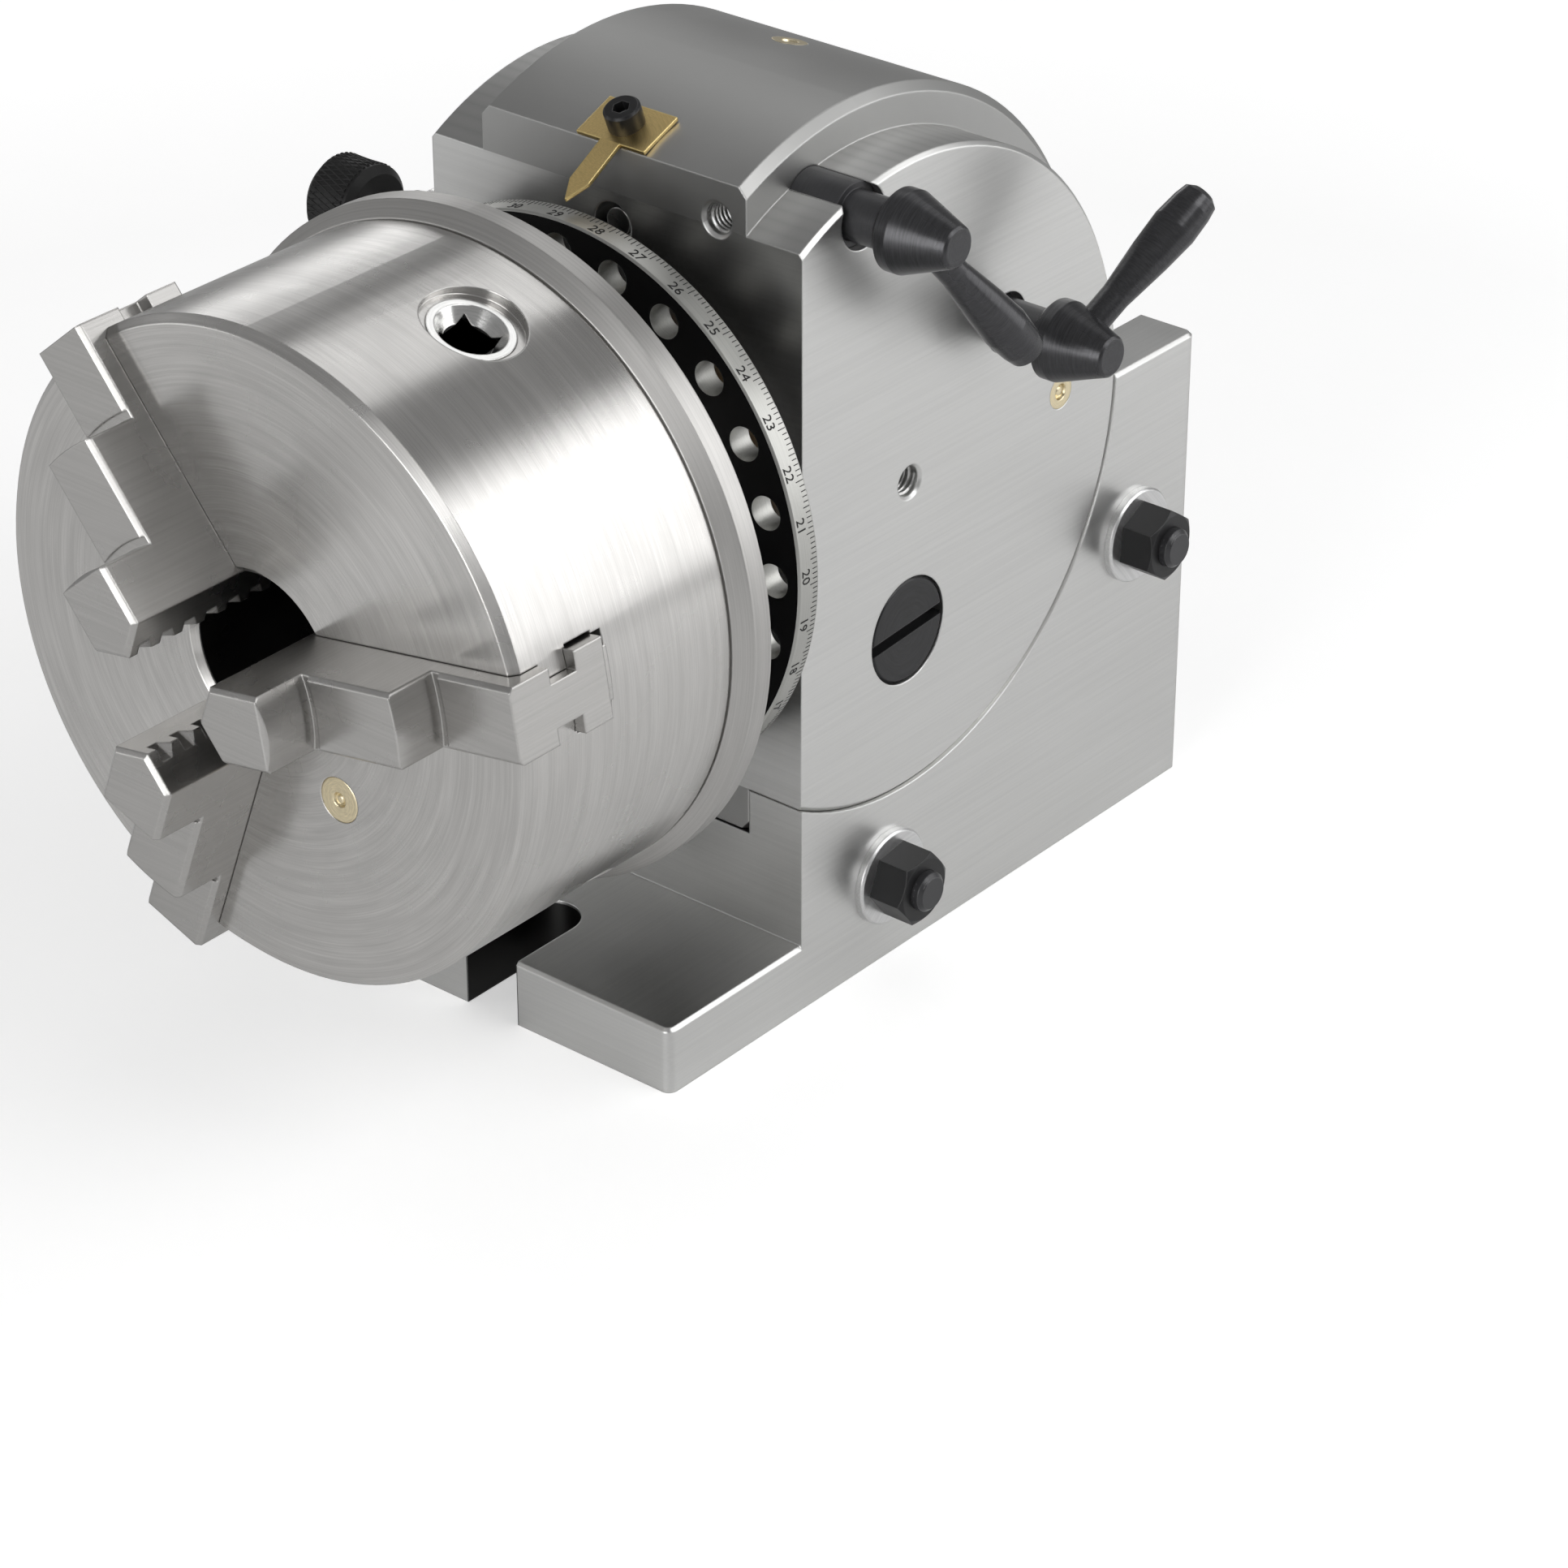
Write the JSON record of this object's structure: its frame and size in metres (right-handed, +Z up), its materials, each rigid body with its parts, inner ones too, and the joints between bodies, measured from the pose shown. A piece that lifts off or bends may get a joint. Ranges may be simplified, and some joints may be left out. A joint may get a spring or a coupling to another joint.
{
  "type": "dividing head with three-jaw chuck",
  "caption": "Semi-universal dividing head: tilting worm-driven spindle with a self-centring chuck, direct and crank indexing plates, plunger and spindle lock levers.",
  "frame": {"origin": "on the base's underside, mid-width, straight under the tilt axis", "axes": "+Z up, -Y out of the chuck along the spindle, +X towards the side with the hand levers"},
  "size_m": [0.1741, 0.2413, 0.173],
  "materials": {
    "ground_iron": "ground",
    "ground_steel": "turned and ground",
    "bright_steel": "machined",
    "hard_steel": "hardened and ground",
    "fastener_steel": "zinc plated",
    "black_steel": "black oxide",
    "bronze": "machined",
    "brass": "machined",
    "knob_plastic": "fine grain"
  },
  "bodies": {
    "base": {"base": "ground_iron", "tilt_clamp_bolts": "black_steel", "tilt_clamp_washers": "fastener_steel", "tilt_clamp_nuts": "black_steel"},
    "head": {"swivel_housing": "ground_iron", "front_bush": "bronze", "rear_bearing_sleeve": "bright_steel", "rear_sleeve_screws": "black_steel", "dial_pointer": "brass", "pointer_screw": "black_steel", "oil_cups": "brass", "worm_end_plug": "black_steel", "sleeve_clamp_screws": "black_steel", "lock_cotter_near": "bright_steel"},
    "spindle": {"spindle": "bright_steel", "wheel_key": "bright_steel", "worm_wheel": "bronze", "thrust_washer": "bright_steel", "spindle_nuts": "black_steel", "direct_index_plate": "black_steel", "dial_screws": "black_steel", "chuck_back_plate": "ground_iron", "chuck_body": "ground_steel", "chuck_screws": "black_steel", "pinion_stop_screws": "black_steel", "chuck_oil_plug": "brass"},
    "scroll": {"scroll": "bright_steel"},
    "pinion_1": {"pinion_1": "bright_steel"},
    "pinion_2": {"pinion_2": "bright_steel"},
    "pinion_3": {"pinion_3": "bright_steel"},
    "jaw_1": {"jaw_1": "hard_steel"},
    "jaw_2": {"jaw_2": "hard_steel"},
    "jaw_3": {"jaw_3": "hard_steel"},
    "worm_carrier": {"eccentric_sleeve": "ground_iron", "worm_bushes": "bronze", "index_plate": "black_steel", "index_plate_screws": "fastener_steel", "sector_spring": "bright_steel"},
    "worm": {"worm_shaft": "bright_steel", "crank_washer": "fastener_steel", "crank_nut": "fastener_steel"},
    "crank": {"crank_arm": "bright_steel", "index_pin_barrel": "bright_steel"},
    "index_pin": {"index_pin": "hard_steel", "index_pin_knob": "knob_plastic"},
    "sector_a": {"sector_arm_a": "brass"},
    "sector_b": {"sector_arm_b": "brass"},
    "index_lever": {"index_lever_shaft": "black_steel", "index_lever_hub": "black_steel", "index_lever_handle": "black_steel"},
    "plunger": {"index_plunger": "hard_steel"},
    "lock_lever": {"lock_lever_shaft": "black_steel", "lock_lever_hub": "black_steel", "lock_lever_handle": "black_steel"},
    "lock_cotter": {"lock_cotter_far": "bright_steel"}
  },
  "joints": [
    {"name": "head_tilt", "type": "hinge", "parent": "base", "child": "head", "pos_m": [0, 0, 0.1], "axis": [-1, 0, 0], "range_deg": [-10, 90]},
    {"name": "spindle_turn", "type": "hinge", "parent": "head", "child": "spindle", "pos_m": [0, 0, 0.1], "axis": [0, 1, 0], "continuous": true},
    {"name": "scroll_turn", "type": "hinge", "parent": "spindle", "child": "scroll", "pos_m": [0, -0.101, 0.1], "axis": [0, 1, 0], "range_deg": [-540, 840]},
    {"name": "worm_engage", "type": "hinge", "parent": "head", "child": "worm_carrier", "pos_m": [0, 0, 0.065], "axis": [-1, 0, 0], "range_deg": [0, 75]},
    {"name": "crank_turn", "type": "hinge", "parent": "worm_carrier", "child": "worm", "pos_m": [0, 0, 0.069], "axis": [1, 0, 0], "continuous": true},
    {"name": "crank_radius", "type": "slide", "parent": "worm", "child": "crank", "axis": [0, 0, -1], "range_m": [0, 0.02]},
    {"name": "index_pin_slide", "type": "slide", "parent": "crank", "child": "index_pin", "axis": [1, 0, 0], "range_m": [0, 0.0075]},
    {"name": "sector_a_turn", "type": "hinge", "parent": "worm_carrier", "child": "sector_a", "pos_m": [0, 0, 0.069], "axis": [1, 0, 0], "continuous": true},
    {"name": "sector_spread", "type": "hinge", "parent": "sector_a", "child": "sector_b", "pos_m": [0, 0, 0.069], "axis": [1, 0, 0], "range_deg": [-60, 60]},
    {"name": "index_lever_turn", "type": "hinge", "parent": "head", "child": "index_lever", "pos_m": [0.04, -0.0145, 0.1579], "axis": [-1, 0, 0], "range_deg": [0, 175]},
    {"name": "plunger_slide", "type": "slide", "parent": "head", "child": "plunger", "axis": [0, -1, 0], "range_m": [0, 0.0153]},
    {"name": "lock_lever_turn", "type": "hinge", "parent": "head", "child": "lock_lever", "pos_m": [0.04, 0.0287, 0.1223], "axis": [1, 0, 0], "range_deg": [0, 60]},
    {"name": "lock_cotter_slide", "type": "slide", "parent": "head", "child": "lock_cotter", "axis": [1, 0, 0], "range_m": [0, 0.0001334]},
    {"name": "jaw_1_slide", "type": "slide", "parent": "spindle", "child": "jaw_1", "axis": [0.9863, 0, 0.165], "range_m": [-0.009, 0.014]},
    {"name": "pinion_1_turn", "type": "hinge", "parent": "spindle", "child": "pinion_1", "pos_m": [0.01751, -0.0918, 0.14683], "axis": [0.3502, 0, 0.9367], "range_deg": [-3780, 5880]},
    {"name": "jaw_2_slide", "type": "slide", "parent": "spindle", "child": "jaw_2", "axis": [-0.3502, 0, -0.9367], "range_m": [-0.009, 0.014]},
    {"name": "pinion_2_turn", "type": "hinge", "parent": "spindle", "child": "pinion_2", "pos_m": [0.0318, -0.0918, 0.06142], "axis": [0.6361, 0, -0.7716], "range_deg": [-3780, 5880]},
    {"name": "jaw_3_slide", "type": "slide", "parent": "spindle", "child": "jaw_3", "axis": [-0.6361, 0, 0.7716], "range_m": [-0.009, 0.014]},
    {"name": "pinion_3_turn", "type": "hinge", "parent": "spindle", "child": "pinion_3", "pos_m": [-0.04931, -0.0918, 0.09175], "axis": [-0.9863, 0, -0.165], "range_deg": [-3780, 5880]}
  ],
  "couplings": [
    {"joint": "crank_turn", "follows": "spindle_turn", "ratio": 40},
    {"joint": "plunger_slide", "follows": "index_lever_turn", "m_per_rad": 0.005},
    {"joint": "lock_cotter_slide", "follows": "lock_lever_turn", "m_per_rad": 0.00012732},
    {"joint": "jaw_1_slide", "follows": "scroll_turn", "m_per_rad": 0.00095493},
    {"joint": "pinion_1_turn", "follows": "scroll_turn", "ratio": 7},
    {"joint": "jaw_2_slide", "follows": "scroll_turn", "m_per_rad": 0.00095493},
    {"joint": "pinion_2_turn", "follows": "scroll_turn", "ratio": 7},
    {"joint": "jaw_3_slide", "follows": "scroll_turn", "m_per_rad": 0.00095493},
    {"joint": "pinion_3_turn", "follows": "scroll_turn", "ratio": 7}
  ]
}
